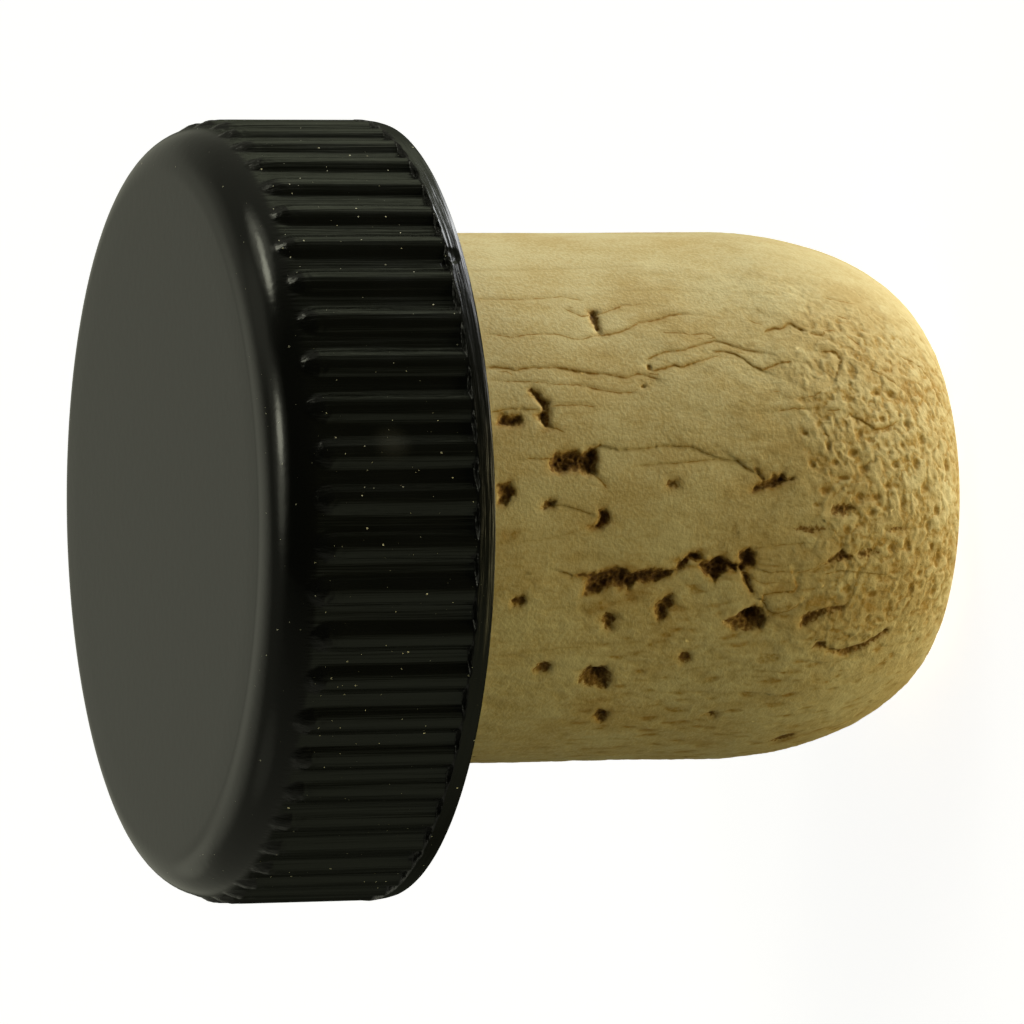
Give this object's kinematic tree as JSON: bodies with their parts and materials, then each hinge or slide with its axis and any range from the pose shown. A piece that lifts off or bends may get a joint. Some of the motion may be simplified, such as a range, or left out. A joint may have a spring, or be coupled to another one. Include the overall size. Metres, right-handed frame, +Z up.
{
  "type": "bottle stopper",
  "caption": "T-shaped bottle stopper: a rounded natural cork shank glued into a round, ribbed plastic cap that serves as the grip and seats on the bottle's lip.",
  "frame": {"origin": "on the cap's axis, in the plane of the cork's lower end, which is the face it stands on", "axes": "+Z up along the cap's axis, from the cork's end to the cap's top face; +X is the side towards which the cork sits 0.4 mm off centre"},
  "size_m": [0.029, 0.029, 0.0292],
  "materials": {
    "cap": "glossy black, moulded",
    "cork": "matt natural cork, sanded"
  },
  "bodies": {
    "root": {"cap": "cap", "cork": "cork"}
  },
  "joints": []
}
